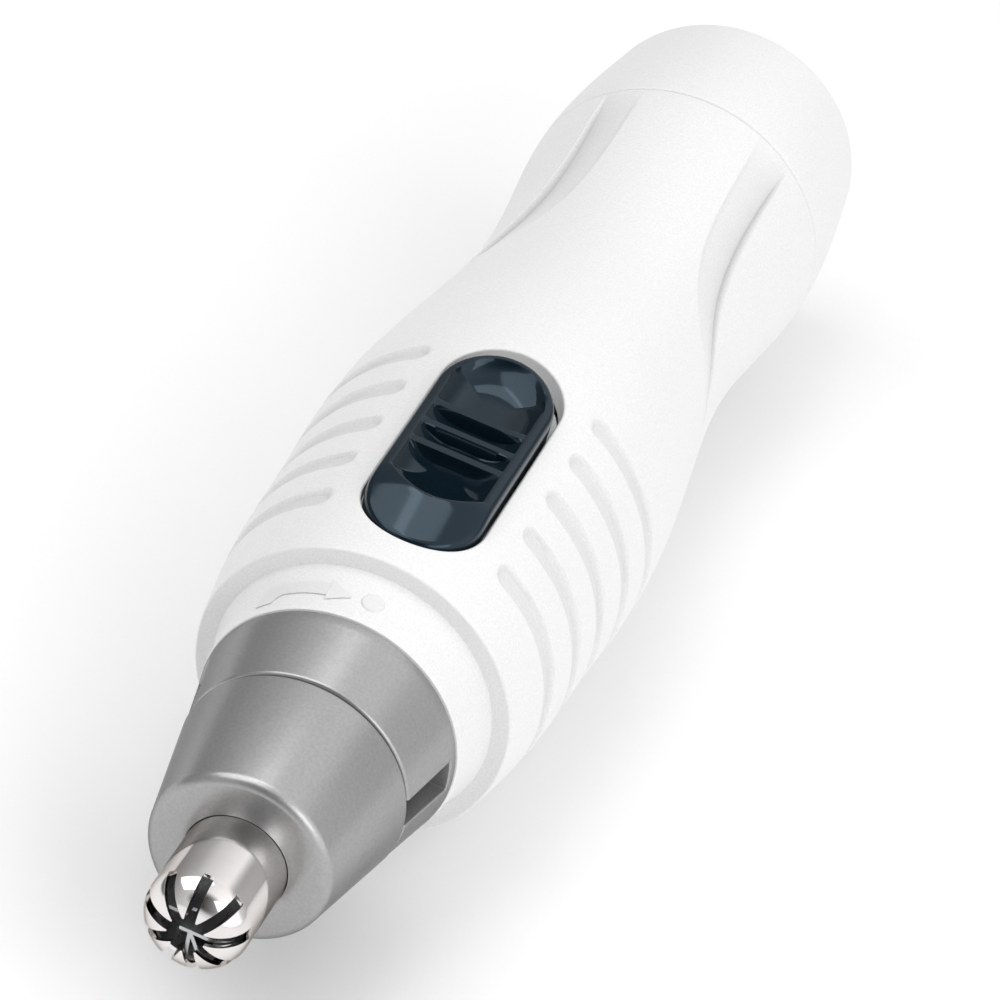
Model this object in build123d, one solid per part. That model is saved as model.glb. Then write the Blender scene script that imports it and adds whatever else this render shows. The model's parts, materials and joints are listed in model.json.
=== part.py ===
from build123d import *
import os

# Cordless nose hair trimmer lying on its side: +Y runs from the cutter tip to the battery cap,
# +Z is the side with the thumb switch. Every piece is drawn on the trimmer's own axis, where Y is
# its "station" along that axis, and place() then moves it into the part's frame.

# Overall
TIP = 1.5                 # station of the cutter's front
REAR = 130.0              # station of the rear end
WALL = 1.8                # moulded wall of the body
GAP = 0.15                # clearance between pieces that slide or twist in each other

# Outer shape of the grip: (station, radius), smooth between
COLLAR_BACK = 35.0        # the grip starts at this shoulder
CAP_SEAM = 112.0
GRIP = [(COLLAR_BACK, 13.1), (43.3, 14.24), (52.0, 14.6), (63.0, 15.1), (76.6, 13.9),
        (93.2, 12.12), (104.0, 12.8), (CAP_SEAM, 13.55), (120.0, 13.12), (REAR, 11.7)]
END_ROUND = 3.4           # rounding of the rear end
REST_FRONT = (60.0, 14.45)  # plane that it lies on, from the belly to the cap:
REST_BACK = (112.0, 12.95)  # (station, distance below the axis)
PAD_X = 3.2               # two low pads reach that plane and keep it from rolling: half width
PAD_RISE = 0.25           # they stand this far out of the flat underneath
BODY_PAD = (56.5, 69.5)   # stations of the pad on the body
CAP_PAD = (113.5, 121.0)  # and of the pad on the cap
SEAM_GAP = 0.12
FAR = 20.0                # reaches past the outside from the axis

# Cutter and head
TUBE_R = 4.18             # outer cutter tube
SHEET = 0.35              # thickness of its steel
DOME_ROUND = 2.6          # rounding from the tube to the front
TIP_HOLE_R = 1.5
SLITS = 9
SLIT_WIDTH = 0.9
SLIT_END = 3.8            # station where the slits stop
TUBE_BACK = 13.5          # flange that the retainer holds
FACE = 11.1               # front face of the head
FACE_EDGE = 12.2
FACE_EDGE_R = 7.38
HEAD_SEAM = 22.8
HEAD_SEAM_R = 9.31
COLLAR_FRONT = 29.9
HEAD_BASE_R = 10.62
COLLAR_FRONT_R = 10.72
COLLAR_BACK_R = 11.57
RINSE_ANGLE = 83.5        # rinse slots, degrees from the switch side
RINSE_WIDTH = 15.0        # degrees
RINSE_END = 28.9
COLLAR_COVE = (10.92, 32.6)  # (radius, station) in the middle of the collar's concave flare
SPIGOT_R = 9.4            # head spigot in the collar
SPIGOT_BACK = 34.2
WEB = 30.4                # back of the web that carries the bush
LUG_WIDTH = 16.0          # degrees
HEAD_TWIST = 25.0         # degrees
HEAD_LUG_R = 9.95
HEAD_LUG = (32.5, 33.9)   # front and back of the lugs
BULKHEAD = (34.7, 36.6)
BULKHEAD_R = 10.4

# Drive line
BLADE_R = 3.68            # swept radius of the inner cutter
BLADE_SHEET = 0.3
BLADE_BACK = 9.4
BLADE_FOLD = [(1.4, 0.1), (0.13, -1.96), (0.21, -0.1)]  # (x, z) corners of the stiffening fold
BLADE_RELIEF = (-0.73, 3.6)  # the leaf's front corner is cut back to this x and station
SHAFT_R = 1.0
SHAFT_FRONT, SHAFT_BACK = 29.0, 66.2
PIN_R = 0.95
COUPLING_R = 2.05

# Motor, a flat-sided can
CAN_R = 10.05
CAN_HALF_HEIGHT = 7.55
CAN_WALL = 0.8
CAN_FRONT = 41.0
CAN_BACK = 64.0
MOTOR_BUSH_R = 2.25
TERMINAL_X = 6.0
ARMATURE_R = 6.45
ARMATURE_FRONT, ARMATURE_BACK = 46.5, 57.0
COIL_END = 1.5            # length of the windings past the core
COMMUTATOR_R = 2.4

# One AA cell
CELL_R = 7.25
CELL_FRONT = 71.4         # front shoulder of the can
CELL_NUB = 1.0
CELL_BACK = 120.9
SLEEVE_R = (7.5, 8.7)
FRAME_R = 11.2
FRAME_FRONT = 38.9
FRAME_WALL = (68.4, 70.0)
FLANGE_BACK = 71.4        # the sleeve's flange, screwed to the frame's wall
SCREW_PLACES = (-10.0, 10.0)
STRIP_R = (8.85, 9.25)    # brass strip beside the cell

# Battery cap
CAP_SPIGOT_R = 10.75
CAP_SPIGOT_FRONT = 103.6
CAP_SEAT = 103.0          # where the body's bore widens for the spigot
CAP_LUG_R = 11.35
CAP_LUG = (104.2, 106.0)  # front and back of the lugs
CAP_SEAL = (109.4, 110.6)  # groove of the O-ring
CAP_BORE = 9.4
CAP_FLOOR = 125.4
CAP_TWIST = 25.0          # degrees

# Thumb switch
SWITCH_MID = 51.1         # centre of the opening
SWITCH_HALF = 13.3        # half its length
SWITCH_SIDE = 5.08        # half its width, ends fully round
WELL_FLOOR = 12.3         # height of the recess floor above the axis
KNOB_FRONT = 38.0
KNOB_BACK = 61.9
KNOB_SIDE = 4.88
KNOB_RISE = 1.1           # crown above the grip surface
NOSE = [(KNOB_FRONT, 13.3), (44.2, 15.62)]  # (station, height) of the ramp at its front
DISH_DEPTH, DISH_HALF_WIDTH = 1.7, 3.6
DISH_RIM = 15.75          # height of the dish's rim above the axis
DISH = (46.4, 57.4)       # stations of its two round ends
STROKE = 2.3
RIBS = [48.5, 51.15, 53.8]
RIB_WIDTH = 0.8
RIB_DROP = 0.25           # ribs below the knob's crown
SLIDER_HEIGHT = (8.2, 9.1)
CONTACT_X = 4.7
CONTACT_PAD = (43.5, 59.5)  # stations of the fixed contacts

# Grip grooves
GROOVES = 5
GROOVE_FIRST = 41.3
GROOVE_PITCH = 5.22
GROOVE_START = 31.0       # degrees from the switch side
GROOVE_ARC = 86.0
GROOVE_TOOL = 1.25
GROOVE_DEPTH = 0.5

# Flutes in the waist: (station, degrees from the switch side, depth) along the middle of each
FLUTE_TOOL = 3.0
FLUTE = [(112.5, 32, 0.05), (104.0, 34, 0.5), (97.0, 40, 0.6), (90.0, 53, 0.45), (82.0, 78, -0.1)]


def place(shape, axis_height):
    """From the trimmer's own axis to the part's frame."""
    return Pos(0, -(TIP + REAR) / 2, axis_height) * shape


def sector(r_in, r_out, front, back, middle, width):
    """Part of a ring: radii, stations, middle angle from +Z towards +X, and angular width."""
    face = Pos((r_in + r_out) / 2, (front + back) / 2) * Rectangle(r_out - r_in, back - front)
    return Rot(0, middle - width / 2 - 90, 0) * revolve(face, Axis.Y, width)


def ring(r_in, r_out, front, back):
    """A washer or a tube on the axis, or a disc when r_in is 0."""
    face = Pos((r_in + r_out) / 2, (front + back) / 2) * Rectangle(r_out - r_in, back - front)
    return revolve(face, Axis.Y)


def turned(points):
    """A solid of revolution from a closed outline of (radius, station) points."""
    return revolve(make_face(Polyline(*points, close=True)), Axis.Y)


def block(x, y, z):
    """A box from its three spans."""
    size = [high - low for low, high in (x, y, z)]
    middle = [(low + high) / 2 for low, high in (x, y, z)]
    return Pos(*middle) * Box(*size)


def stadium(middle, half_length, half_width, bottom, top):
    """A round-ended plate along Y."""
    outline = Pos(0, middle, bottom) * SlotOverall(2 * half_length, 2 * half_width, rotation=90)
    return extrude(outline, amount=top - bottom)


def around(shape, count, first=0.0):
    """Copies spaced evenly about the axis."""
    return [Rot(0, first + 360 / count * i, 0) * shape for i in range(count)]


def grip_solid(inset):
    """The grip's outer shape, moved in by inset, from the shoulder to the rear end."""
    side = Spline(*[(radius - inset, station) for station, radius in GRIP])
    edges = [side, Line(side @ 1, (0, REAR)), Line((0, REAR), (0, COLLAR_BACK)),
             Line((0, COLLAR_BACK), side @ 0)]
    return revolve(make_face(edges), Axis.Y)


def grip_radius(station):
    """Outer radius of the grip at a station, from the same curve."""
    return (Spline(*GRIP) & Line((station, 0), (station, FAR))).vertices()[0].Y


def under(rise):
    """Everything lower than a plane this far above the one that the trimmer lies on."""
    slope = (REST_FRONT[1] - REST_BACK[1]) / (REST_BACK[0] - REST_FRONT[0])
    drop = [REST_FRONT[1] + slope * (REST_FRONT[0] - station) - rise for station in (0, REAR)]
    outline = make_face(Polyline((0, -drop[0]), (REAR, -drop[1]), (REAR, -FAR), (0, -FAR), close=True))
    return extrude(Plane.YZ * outline, FAR, both=True)


def padded(solid, ends):
    """The solid with its underside cut flat and a low pad left on it."""
    pad = block((-PAD_X, PAD_X), ends, (-FAR, 0)) & under(2 * PAD_RISE)
    return solid - under(PAD_RISE) + (pad - under(0))


def lugs(r_in, r_out, ends):
    """Three bayonet lugs, rooted inside the spigot."""
    return around(sector(r_in - 0.3, r_out, *ends, 0, LUG_WIDTH), 3)


def bayonet(r_in, r_out, ends, mouth, twist):
    """Room for three lugs: an axial way in from the mouth and a channel to twist along."""
    width = LUG_WIDTH + 2
    front, back = ends[0] - GAP, ends[1] + GAP
    way = sector(r_in, r_out, min(mouth, front), max(mouth, back), twist, width)
    channel = sector(r_in, r_out, front, back, twist / 2, twist + width)
    return around(way, 3) + around(channel, 3)


def coil(radius, wire, front, back, turns):
    """A compression spring on the axis."""
    path = Helix((back - front - wire) / turns, back - front - wire, radius)
    section = Plane(path @ 0, z_dir=path % 0) * Circle(wire / 2)
    spring = sweep(section, path)
    return Pos(0, front + wire / 2, 0) * Rot(-90, 0, 0) * spring


# ---- Head ----

def domed(radius, rounding, front, back):
    """A cylinder on the axis with a rounded front."""
    solid = ring(0, radius, front, back)
    return fillet(solid.edges().filter_by(GeomType.CIRCLE).sort_by(Axis.Y)[0], rounding)


def outer_cutter():
    """Round-nosed steel cup with radial slits that open into a hole at the front."""
    cup = domed(TUBE_R, DOME_ROUND, TIP, TUBE_BACK)
    cup += ring(0, TUBE_R + 1.2, TUBE_BACK - 0.5, TUBE_BACK)
    cup -= domed(TUBE_R - SHEET, DOME_ROUND - SHEET, TIP + SHEET, TUBE_BACK + 1)
    cup -= ring(0, TIP_HOLE_R, 0, TIP + 1)
    slit = block((-SLIT_WIDTH / 2, SLIT_WIDTH / 2), (0, SLIT_END), (0, TUBE_R + 1))
    return cup - around(slit, SLITS)


def head_cone():
    """Satin nose piece that holds the cutter."""
    bore = TUBE_R + 0.06
    shell = turned([(bore, FACE), (FACE_EDGE_R - 0.75, FACE + 0.45), (FACE_EDGE_R, FACE_EDGE),
                    (HEAD_SEAM_R - 0.05, HEAD_SEAM - SEAM_GAP), (8.2, HEAD_SEAM - SEAM_GAP),
                    (8.2, HEAD_SEAM + 1.2), (7.3, HEAD_SEAM + 1.2), (7.3, HEAD_SEAM - 1.8),
                    (5.7, FACE + 5.3), (5.7, FACE + 1.8), (bore, FACE + 1.8)])
    edge = shell.edges().filter_by(GeomType.CIRCLE).sort_by(
        lambda e: abs(e.radius - FACE_EDGE_R) + abs(e.center().Y - FACE_EDGE))[0]
    return fillet(edge, 0.5)


def cutter_retainer():
    return ring(TUBE_R + 0.32, 5.6, TUBE_BACK + 0.1, TUBE_BACK + 2)


def head_base():
    """Rear half of the head: rinse slots, a web with the bush seat, and the bayonet spigot."""
    seal_seat, bush_seat = SPIGOT_R - 0.9, COUPLING_R + 0.9
    shell = turned([(8.3, HEAD_SEAM), (HEAD_SEAM_R - 0.05, HEAD_SEAM),
                    (HEAD_BASE_R, COLLAR_FRONT - SEAM_GAP), (SPIGOT_R, COLLAR_FRONT - SEAM_GAP),
                    (SPIGOT_R, 30.5), (seal_seat, 30.5), (seal_seat, 31.6), (SPIGOT_R, 31.6),
                    (SPIGOT_R, SPIGOT_BACK), (7.4, SPIGOT_BACK), (7.4, WEB), (bush_seat, WEB),
                    (bush_seat, WEB - 1.6), (8.9, WEB - 1.6)])
    shell += lugs(SPIGOT_R, HEAD_LUG_R, HEAD_LUG)
    sides = [RINSE_ANGLE, -RINSE_ANGLE]
    return shell - [sector(7.8, 12, HEAD_SEAM - 1, RINSE_END, side, RINSE_WIDTH) for side in sides]


def cutter_bush():
    return ring(COUPLING_R + 0.05, COUPLING_R + 0.88, WEB - 1.8, WEB + 0.2)


def head_o_ring():
    return Pos(0, 31.05, 0) * Rot(90, 0, 0) * Torus(8.97, 0.46)


# ---- Drive line ----

def sheet(start, end, front, back):
    """A flat leaf along the axis, between two (x, z) points."""
    run = Vector(end[0] - start[0], end[1] - start[1])
    turn = run.get_signed_angle(Vector(1, 0))
    middle = Pos((start[0] + end[0]) / 2, (front + back) / 2, (start[1] + end[1]) / 2)
    return middle * Rot(0, turn, 0) * Box(run.length + BLADE_SHEET, back - front, BLADE_SHEET)


def inner_cutter():
    """A flat leaf across the tube that sweeps the slits, with a triangular fold under it."""
    inset = TUBE_R - BLADE_R
    swept = domed(BLADE_R, DOME_ROUND - inset, TIP + inset, BLADE_BACK)
    level = BLADE_FOLD[0][1]
    leaf = sheet((-TUBE_R, level), (TUBE_R, level), 0, BLADE_BACK)
    leaf -= block((-TUBE_R, BLADE_RELIEF[0]), (0, BLADE_RELIEF[1]), (-1, 1))
    leaf -= block((-0.68, -0.3), (4.0, 4.45), (-1, 1))
    fold = [sheet(start, end, 0, BLADE_BACK) for start, end in zip(BLADE_FOLD, BLADE_FOLD[1:])]
    return swept & (leaf + fold + ring(0, 3.2, BLADE_BACK - 0.4, BLADE_BACK))


def cutter_holder():
    """Plastic spindle that carries the blade and takes the drive pin."""
    spindle = ring(0, 3.3, BLADE_BACK, 12.2) + ring(0, 1.9, 12.2, 21.6)
    return spindle - ring(0, PIN_R + 0.03, 17.5, 22)


def drive_pin():
    return ring(0, PIN_R, 18.0, 26.8)


def cutter_spring():
    return coil(1.55, 0.35, 21.7, 24.2, 3)


def drive_coupling():
    sleeve = ring(0, COUPLING_R, 24.3, 33.4)
    return sleeve - ring(0, PIN_R + 0.02, 24, 27) - ring(0, SHAFT_R, SHAFT_FRONT, 34)


def motor_shaft():
    return ring(0, SHAFT_R, SHAFT_FRONT, SHAFT_BACK)


def armature_core():
    """Three-pole laminated core."""
    ends = (ARMATURE_FRONT - 1, ARMATURE_BACK + 1)
    core = ring(SHAFT_R, ARMATURE_R, ARMATURE_FRONT, ARMATURE_BACK)
    slot = block((-0.6, 0.6), ends, (4, 8)) + block((-2.6, 2.6), ends, (3.0, 5.6))
    return core - around(slot, 3)


def armature_windings():
    """Three coils that fill the core's slots and stand out at both ends."""
    front = sector(2.2, 6.3, ARMATURE_FRONT - 0.1 - COIL_END, ARMATURE_FRONT - 0.1, 60, 84)
    back = sector(2.2, 6.3, ARMATURE_BACK + 0.1, ARMATURE_BACK + 0.1 + COIL_END, 60, 84)
    return around(front, 3) + around(back, 3)


def commutator():
    drum = ring(SHAFT_R, COMMUTATOR_R, 59.5, 62.6)
    cut = block((-0.12, 0.12), (59, 63), (COMMUTATOR_R - 0.5, COMMUTATOR_R + 0.5))
    return drum - around(cut, 3)


# ---- Motor, fixed in the body ----

def flat_can(radius, half_height, front, back):
    """The motor's outline: round, with two flats."""
    return ring(0, radius, front, back) & block((-FAR, FAR), (front, back), (-half_height, half_height))


def motor_can():
    can = flat_can(CAN_R, CAN_HALF_HEIGHT, CAN_FRONT, CAN_BACK)
    can -= flat_can(CAN_R - CAN_WALL, CAN_HALF_HEIGHT - CAN_WALL, CAN_FRONT + CAN_WALL, CAN_BACK + 1)
    can += ring(0, 3.1, CAN_FRONT - 1.6, CAN_FRONT + 0.4)
    return can - ring(0, MOTOR_BUSH_R, CAN_FRONT - 2, CAN_FRONT + 2)


def motor_front_bush():
    return ring(SHAFT_R + 0.05, MOTOR_BUSH_R, CAN_FRONT - 1.5, CAN_FRONT + 0.9)


def motor_magnets():
    magnet = sector(7.3, CAN_R - CAN_WALL, 44.0, 59.0, 90, 78)
    return around(magnet, 2)


def motor_end_cap():
    inside = CAN_WALL + 0.05
    cap = flat_can(CAN_R - inside, CAN_HALF_HEIGHT - inside, CAN_BACK - 1.2, CAN_BACK)
    cap += flat_can(CAN_R, CAN_HALF_HEIGHT, CAN_BACK, CAN_BACK + 1.6)
    ways = [block((x - 0.9, x + 0.9), (60, 68), (-0.35, 0.35)) for x in (-TERMINAL_X, TERMINAL_X)]
    return cap - ring(0, MOTOR_BUSH_R, 60, 68) - ways


def motor_rear_bush():
    return ring(SHAFT_R + 0.05, MOTOR_BUSH_R, CAN_BACK - 0.8, CAN_BACK + 1.7)


def motor_brushes():
    """Two brushes beside the commutator, each on a leaf from its terminal."""
    brush = block((COMMUTATOR_R + 0.1, COMMUTATOR_R + 1.5), (60.2, 61.8), (-0.7, 0.7))
    leaf = block((COMMUTATOR_R + 1.5, 5.0), (60.8, 61.1), (-0.7, 0.7))
    return around(brush + leaf, 2)


def motor_terminals():
    return [block((x - 0.85, x + 0.85), (61.3, 67.9), (-0.3, 0.3)) for x in (-TERMINAL_X, TERMINAL_X)]


# ---- Body ----

def groove(station):
    """A finger groove round one side of the grip, with rounded ends."""
    radius = grip_radius(station) + GROOVE_TOOL - GROOVE_DEPTH
    track = revolve(Pos(radius, station) * Circle(GROOVE_TOOL), Axis.Y, GROOVE_ARC)
    end = Pos(radius, station, 0) * Sphere(GROOVE_TOOL)
    cutter = track + end + Rot(0, GROOVE_ARC, 0) * end
    return Rot(0, GROOVE_START - 90, 0) * cutter


def flute():
    """A shallow channel that leaves the cap's seam and winds down the waist."""
    path_points = []
    for station, angle, depth in FLUTE:
        radius = grip_radius(station) + FLUTE_TOOL - depth
        path_points.append(Rot(0, angle, 0) * Pos(0, station, radius))
    path = Spline(*[p.position for p in path_points])
    return sweep(Plane(path @ 0, z_dir=path % 0) * Circle(FLUTE_TOOL), path)


def collar():
    """Front collar: a concave flare up to the grip's shoulder."""
    flare = ThreePointArc((COLLAR_FRONT_R, COLLAR_FRONT), COLLAR_COVE,
                          (COLLAR_BACK_R, COLLAR_BACK - 0.3))
    inner = SPIGOT_R + GAP
    rest = Polyline(flare @ 1, (COLLAR_BACK_R, COLLAR_BACK + 1), (inner, COLLAR_BACK + 1),
                    (inner, COLLAR_FRONT), flare @ 0)
    return revolve(make_face([flare, rest]), Axis.Y)


def body_shell():
    """One-piece grip: collar, switch opening, finger grooves and the cap's seat."""
    seat = ring(0, BULKHEAD_R + 0.1, BULKHEAD[0] - 0.1, BULKHEAD[1] + 0.5)
    shell = grip_solid(0) & ring(0, FAR, COLLAR_BACK, CAP_SEAM)
    shell -= grip_solid(WALL) & ring(0, FAR, COLLAR_BACK + 2, CAP_SEAT)
    shell -= ring(0, CAP_SPIGOT_R + GAP, CAP_SEAT - 0.1, CAP_SEAM + 1)
    shell -= seat
    shell += collar() - seat
    shell -= bayonet(SPIGOT_R, HEAD_LUG_R + GAP, HEAD_LUG, COLLAR_FRONT - 0.5, HEAD_TWIST)
    shell -= bayonet(CAP_SPIGOT_R, CAP_LUG_R + GAP, CAP_LUG, CAP_SEAM + 0.5, CAP_TWIST)
    shell -= stadium(SWITCH_MID, SWITCH_HALF, SWITCH_SIDE, 9.0, FAR)
    tools = [groove(GROOVE_FIRST + GROOVE_PITCH * i) for i in range(GROOVES)] + [flute()]
    for tool in tools:
        shell -= tool
        shell -= mirror(tool, Plane.YZ)
    return padded(shell, BODY_PAD)


def front_bulkhead():
    """Wall behind the collar that keeps water out of the motor."""
    return ring(3.7, BULKHEAD_R, *BULKHEAD)


def shaft_seal():
    return ring(SHAFT_R + 0.06, 3.65, BULKHEAD[0] + 0.2, BULKHEAD[1] - 0.1)


def strip_room(spare):
    """The path of the return strip beside the cell, with some clearance."""
    return sector(STRIP_R[0] - spare, STRIP_R[1] + spare, 66.0, 110.0 + spare, 35, 12 + 12 * spare)


def screw_holes():
    return [Pos(x, 0, 0) * ring(0, 0.8, 60, 80) for x in SCREW_PLACES]


def chassis():
    """Inner frame: front ring, saddle under the motor and the wall behind it."""
    frame = ring(3.3, FRAME_R, FRAME_FRONT, CAN_FRONT - 0.05)
    frame += sector(CAN_R + 0.15, FRAME_R, FRAME_FRONT, FRAME_WALL[1], 180, 140)
    frame += ring(0, FRAME_R, *FRAME_WALL)
    frame -= block((-FAR, FAR), (FRAME_FRONT - 1, CAN_FRONT + 1), (8.8, FAR))
    return frame - strip_room(0.25) - screw_holes()


def battery_tube():
    """Sleeve that guides the cell, with a flange screwed to the frame."""
    tube = ring(*SLEEVE_R, FRAME_WALL[1], 108.0) + ring(SLEEVE_R[0], FRAME_R, FRAME_WALL[1], FLANGE_BACK)
    return tube - strip_room(0.12) - screw_holes()


def chassis_screws():
    """Two cross-head screws through the flange."""
    top = FLANGE_BACK + 1
    screw = ring(0, 0.75, FRAME_WALL[0] + 0.2, FLANGE_BACK) + ring(0, 1.15, FLANGE_BACK, top)
    screw -= block((-0.9, 0.9), (top - 0.4, top + 1), (-0.2, 0.2))
    screw -= block((-0.2, 0.2), (top - 0.4, top + 1), (-0.9, 0.9))
    return [Pos(x, 0, 0) * screw for x in SCREW_PLACES]


def battery_cell():
    """One AA cell, positive end to the front."""
    can = ring(0, CELL_R, CELL_FRONT, CELL_BACK)
    rim = can.edges().filter_by(GeomType.CIRCLE)
    return fillet(rim, 0.5) + ring(0, 2.7, CELL_FRONT - CELL_NUB, CELL_FRONT)


def front_contact():
    return ring(0, 5.5, FRAME_WALL[1], CELL_FRONT - CELL_NUB)


def return_strip():
    """Brass strip from the cap's contact to the switch."""
    return strip_room(0)


# ---- Battery cap ----

def battery_cap():
    """Twist-off rear cap with its spigot, seal groove and bayonet lugs."""
    outside = grip_solid(0) & ring(0, 20, CAP_SEAM + SEAM_GAP, REAR + 1)
    rim = outside.edges().filter_by(GeomType.CIRCLE).sort_by(Axis.Y)[-1]
    cap = fillet(rim, END_ROUND)
    groove_r = CAP_SPIGOT_R - 0.65
    cap += turned([(0, CAP_SPIGOT_FRONT), (CAP_SPIGOT_R, CAP_SPIGOT_FRONT), (CAP_SPIGOT_R, CAP_SEAL[0]),
                   (groove_r, CAP_SEAL[0]), (groove_r, CAP_SEAL[1]), (CAP_SPIGOT_R, CAP_SEAL[1]),
                   (CAP_SPIGOT_R, CAP_SEAM + 1), (0, CAP_SEAM + 1)])
    cap += lugs(CAP_SPIGOT_R, CAP_LUG_R, CAP_LUG)
    return padded(cap - ring(0, CAP_BORE, 100, CAP_FLOOR), CAP_PAD)


def cap_o_ring():
    return Pos(0, sum(CAP_SEAL) / 2, 0) * Rot(90, 0, 0) * Torus(10.48, 0.36)


def cap_contact():
    """Plated cup that joins the spring to the return strip."""
    outside = CAP_BORE - 0.1
    return ring(0, outside, CAP_FLOOR - 0.4, CAP_FLOOR) + ring(outside - 0.3, outside, 110.3, CAP_FLOOR - 0.4)


def cap_spring():
    return coil(4.2, 0.6, CELL_BACK, CAP_FLOOR - 0.4, 3)


# ---- Thumb switch ----

def switch_well():
    """Fixed tray under the opening, with the slot for the knob's stem."""
    low, shelf = 9.2, 10.1
    tray = stadium(SWITCH_MID, SWITCH_HALF + 0.7, SWITCH_SIDE + 1.9, low, shelf)
    tray += stadium(SWITCH_MID, SWITCH_HALF - 0.1, SWITCH_SIDE - 0.1, shelf, WELL_FLOOR)
    return tray - block((-1.45, 1.45), (46.7, 53.3 + STROKE), (low - 0.2, WELL_FLOOR + 0.7))


def knob_dish():
    """Scoop for the thumb: a trough with round ends."""
    tool = (DISH_HALF_WIDTH ** 2 + DISH_DEPTH ** 2) / (2 * DISH_DEPTH)
    ends = [Pos(0, station, 0) * Sphere(tool) for station in DISH]
    return Pos(0, 0, DISH_RIM - DISH_DEPTH + tool) * (ring(0, tool, *DISH) + ends)


def switch_knob():
    """Sliding thumb piece: crowned rim, scooped dish with three ribs, and a ramped nose."""
    middle, half = (KNOB_FRONT + KNOB_BACK) / 2, (KNOB_BACK - KNOB_FRONT) / 2
    blank = stadium(middle, half, KNOB_SIDE, WELL_FLOOR + 0.1, FAR) & grip_solid(-KNOB_RISE)
    above_nose = Polyline((KNOB_FRONT - 8, NOSE[0][1] - 0.3), *NOSE, (NOSE[1][0] + 2, FAR),
                          (KNOB_FRONT - 8, FAR), close=True)
    blank -= extrude(Plane.YZ * make_face(above_nose), 10, both=True)
    dish = knob_dish()
    knob = blank - dish
    for station in RIBS:
        bar = block((-4, 4), (station - RIB_WIDTH / 2, station + RIB_WIDTH / 2), (13, 17)) & dish
        knob += bar & grip_solid(RIB_DROP - KNOB_RISE)
    return knob + block((-1.2, 1.2), (47.0, 53.0), (SLIDER_HEIGHT[1], WELL_FLOOR + 0.5))


def switch_slider():
    return block((-3, 3), (45.0, 55.0), SLIDER_HEIGHT)


def switch_wiper():
    """Brass bridge under the slider, its ends turned up to the fixed contacts."""
    level, reach = SLIDER_HEIGHT[0], CONTACT_X + 0.3
    bridge = block((-reach, reach), (48.5, 51.5), (level - 0.35, level))
    ends = [block((x - 0.3, x + 0.3), (48.5, 51.5), (level, level + 0.6)) for x in (-CONTACT_X, CONTACT_X)]
    return bridge + ends


def switch_contacts():
    return [block((x - 0.6, x + 0.6), CONTACT_PAD, (8.9, 9.2)) for x in (-CONTACT_X, CONTACT_X)]


PIECES = [outer_cutter, head_cone, cutter_retainer, head_base, cutter_bush, head_o_ring,
          inner_cutter, cutter_holder, drive_pin, cutter_spring, drive_coupling, motor_shaft,
          armature_core, armature_windings, commutator,
          motor_can, motor_front_bush, motor_magnets, motor_end_cap, motor_rear_bush,
          motor_brushes, motor_terminals,
          body_shell, front_bulkhead, shaft_seal, chassis, battery_tube, chassis_screws,
          battery_cell, front_contact, return_strip,
          battery_cap, cap_o_ring, cap_contact, cap_spring,
          switch_well, switch_knob, switch_slider, switch_wiper, switch_contacts]

os.makedirs("parts", exist_ok=True)
axis_height = -body_shell().bounding_box().min.Z
for piece in PIECES:
    made = piece()
    shapes = made if isinstance(made, list) else [made]
    solids = [place(solid, axis_height) for shape in shapes for solid in shape.solids()]
    whole = solids[0] if len(solids) == 1 else Compound(children=solids)
    export_step(whole, f"parts/{piece.__name__}.step")
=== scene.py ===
import json
import math

import bmesh
import bpy
import numpy as np
from mathutils import Matrix, Vector


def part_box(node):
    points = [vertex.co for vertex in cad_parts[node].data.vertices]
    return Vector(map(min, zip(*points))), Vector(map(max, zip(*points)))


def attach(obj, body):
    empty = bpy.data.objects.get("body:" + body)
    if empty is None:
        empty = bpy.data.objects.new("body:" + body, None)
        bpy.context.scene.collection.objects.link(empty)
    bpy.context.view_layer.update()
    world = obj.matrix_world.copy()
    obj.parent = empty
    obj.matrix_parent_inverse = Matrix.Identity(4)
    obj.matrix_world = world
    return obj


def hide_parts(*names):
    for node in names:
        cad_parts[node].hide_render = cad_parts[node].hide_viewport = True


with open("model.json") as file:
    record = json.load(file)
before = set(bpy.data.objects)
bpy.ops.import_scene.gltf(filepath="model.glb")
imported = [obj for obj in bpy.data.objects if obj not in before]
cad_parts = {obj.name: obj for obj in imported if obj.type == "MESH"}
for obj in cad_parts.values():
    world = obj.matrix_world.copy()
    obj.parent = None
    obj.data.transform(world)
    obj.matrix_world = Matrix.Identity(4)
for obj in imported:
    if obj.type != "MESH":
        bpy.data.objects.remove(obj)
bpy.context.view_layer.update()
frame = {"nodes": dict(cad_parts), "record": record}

# Sizes are in millimetres on the trimmer's own axis: "station" runs back from the tip of the dome,
# "radius" out from the axis, and angles are from the switch side (+Z) towards +X.
MM = 0.001

# ---- Sizes of the shape, in millimetres ----

TIP = 1.5
TUBE_R = 4.18
TIP_HOLE_R = 1.5
DOME_ROUND = 2.6                 # rounding from the tube to the flat front
SHEET = 0.35                     # steel of the outer cutter
SLITS, SLIT_WIDTH, SLIT_END = 9, 0.9, 3.8
HEAD_SEAM, HEAD_SEAM_R = 22.8, 9.31
HEAD_BASE_R = 10.62
RINSE_ANGLE, RINSE_WIDTH, RINSE_END = 83.5, 15.0, 28.9
COLLAR_BORE = 9.55
COLLAR_BACK = 35.0               # station of the shoulder
COLLAR_COVE = [(29.9, 10.72), (32.6, 10.92), (34.95, 11.57)]
GRIP = [(35.0, 13.1), (43.3, 14.24), (52.0, 14.6), (63.0, 15.1), (76.6, 13.9),
        (93.2, 12.12), (104.0, 12.8), (112.0, 13.55), (120.0, 13.12), (130.0, 11.7)]
WALL = 1.8
SOCKET_FRONT, SOCKET_R = 103.0, 10.9       # wider bore at the back of the grip, where the cap goes in
CAP_BORE, CAP_FLOOR = 9.4, 125.5
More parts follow.
